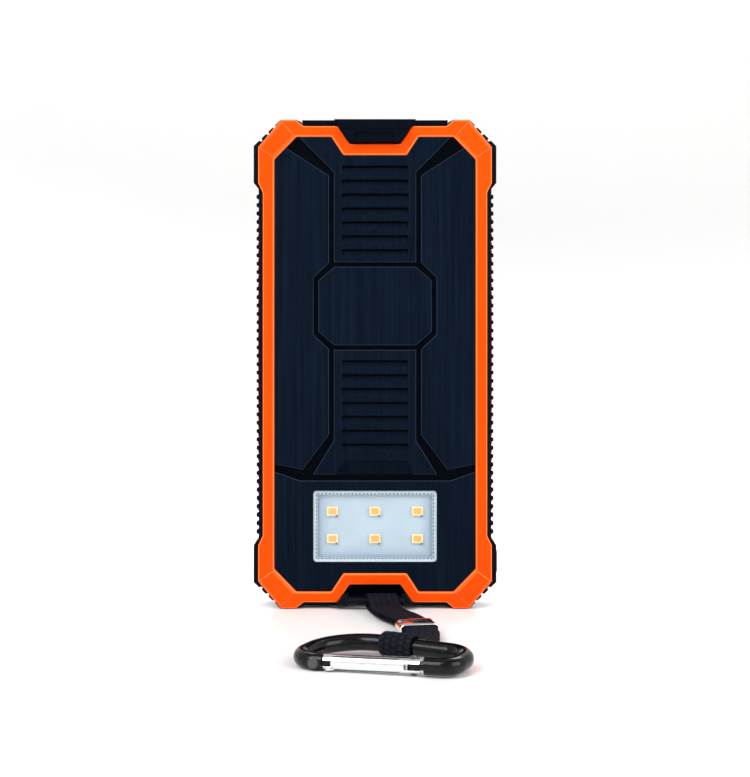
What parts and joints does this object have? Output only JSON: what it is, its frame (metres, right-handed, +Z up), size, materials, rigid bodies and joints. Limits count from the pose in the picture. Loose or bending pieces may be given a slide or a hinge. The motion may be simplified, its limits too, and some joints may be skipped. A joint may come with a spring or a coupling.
{
  "type": "solar phone charger",
  "caption": "Rugged solar power bank with a lamp window, ribbed grips, a hinged port cover, a side button and a webbing lanyard with a snap hook.",
  "frame": {"origin": "on the surface it stands on, under the middle of the case", "axes": "+X to the side with the button as seen from the lamp face, +Y out of the solar face, -Y out of the lamp face, +Z up along the case to the ports"},
  "size_m": [0.0776, 0.1065, 0.155],
  "materials": {
    "cover_plastic": "fine vertically brushed satin",
    "case_plastic": "satin",
    "seal_rubber": "matt",
    "bezel_orange": "satin moulded",
    "armour_rubber": "fine matt texture",
    "grip_orange": "ribbed matt",
    "panel_backing": "matt",
    "solar_cell": "dark blue with fine light fingers",
    "clear_cover": "clear gloss",
    "lamp_lens": "clear, faint frost",
    "lamp_board": "white solder mask",
    "led_body": "ceramic cream",
    "led_phosphor": "yellow silicone",
    "socket_steel": "nickel plated",
    "insulator": "white",
    "circuit_board": "green solder mask",
    "screw_steel": "zinc plated",
    "chip_black": "moulded",
    "battery_foil": "laminated foil",
    "foam": "open cell foam",
    "wire_red": "insulated",
    "wire_black": "insulated",
    "wire_white": "insulated",
    "wire_blue": "insulated",
    "webbing": "woven polyester",
    "crimp_metal": "nickel plated",
    "hook_black": "gloss black anodised",
    "gate_silver": "bright satin"
  },
  "bodies": {
    "case": {"armour_band": "armour_rubber", "back_bezel": "bezel_orange", "back_shell": "cover_plastic", "battery_cell_front": "battery_foil", "battery_cell_rear": "battery_foil", "battery_lead_black": "wire_black", "battery_lead_red": "wire_red", "board_screws": "screw_steel", "button_board": "circuit_board", "button_lead_blue": "wire_blue", "button_lead_white": "wire_white", "filter_capacitors": "socket_steel", "foam_pad": "foam", "front_bezel": "bezel_orange", "front_shell": "case_plastic", "grip_left": "grip_orange", "grip_right": "grip_orange", "lamp_board": "lamp_board", "lamp_lead_black": "wire_black", "lamp_lead_red": "wire_red", "lamp_leds": "led_body", "lamp_lens": "lamp_lens", "lamp_phosphors": "led_phosphor", "lanyard_bar": "case_plastic", "main_board": "circuit_board", "micro_usb_socket": "socket_steel", "micro_usb_tongue": "insulator", "power_chips": "chip_black", "power_inductor": "chip_black", "protection_board": "circuit_board", "shell_seal": "seal_rubber", "solar_backing": "panel_backing", "solar_cells": "solar_cell", "solar_glass": "clear_cover", "solar_lead_black": "wire_black", "solar_lead_red": "wire_red", "tact_switch": "chip_black", "usb_insulator_left": "insulator", "usb_insulator_right": "insulator", "usb_socket_left": "socket_steel", "usb_socket_right": "socket_steel"},
    "port_cover": {"port_cover": "armour_rubber"},
    "button": {"power_button": "armour_rubber", "switch_plunger": "chip_black"},
    "lanyard": {"strap_webbing": "webbing", "strap_crimp": "crimp_metal"},
    "snap_hook": {"carabiner_frame": "hook_black"},
    "hook_gate": {"carabiner_gate": "gate_silver", "gate_rivet": "gate_silver", "gate_spring": "screw_steel"}
  },
  "joints": [
    {"name": "port_cover_hinge", "type": "hinge", "parent": "case", "child": "port_cover", "pos_m": [0, 0.0065, 0.1533], "axis": [-1, 0, 0], "range_deg": [0, 130]},
    {"name": "button_travel", "type": "slide", "parent": "case", "child": "button", "axis": [-1, 0, 0], "range_m": [0, 0.0005], "stiffness_N_per_m": 900},
    {"name": "lanyard_swing", "type": "hinge", "parent": "case", "child": "lanyard", "pos_m": [0.002, -0.0078, 0.0028], "axis": [-1, 0, 0], "range_deg": [0, 60]},
    {"name": "hook_swing", "type": "hinge", "parent": "lanyard", "child": "snap_hook", "pos_m": [0.0065, -0.0734, 0.0035], "axis": [-0.8688, 0.4952, 0], "range_deg": [0, 100]},
    {"name": "gate_open", "type": "hinge", "parent": "snap_hook", "child": "hook_gate", "pos_m": [0.00986, -0.09265, 0.00268], "axis": [0.0268, 0.047, -0.9985], "range_deg": [0, 25], "stiffness_Nm_per_rad": 0.05}
  ]
}
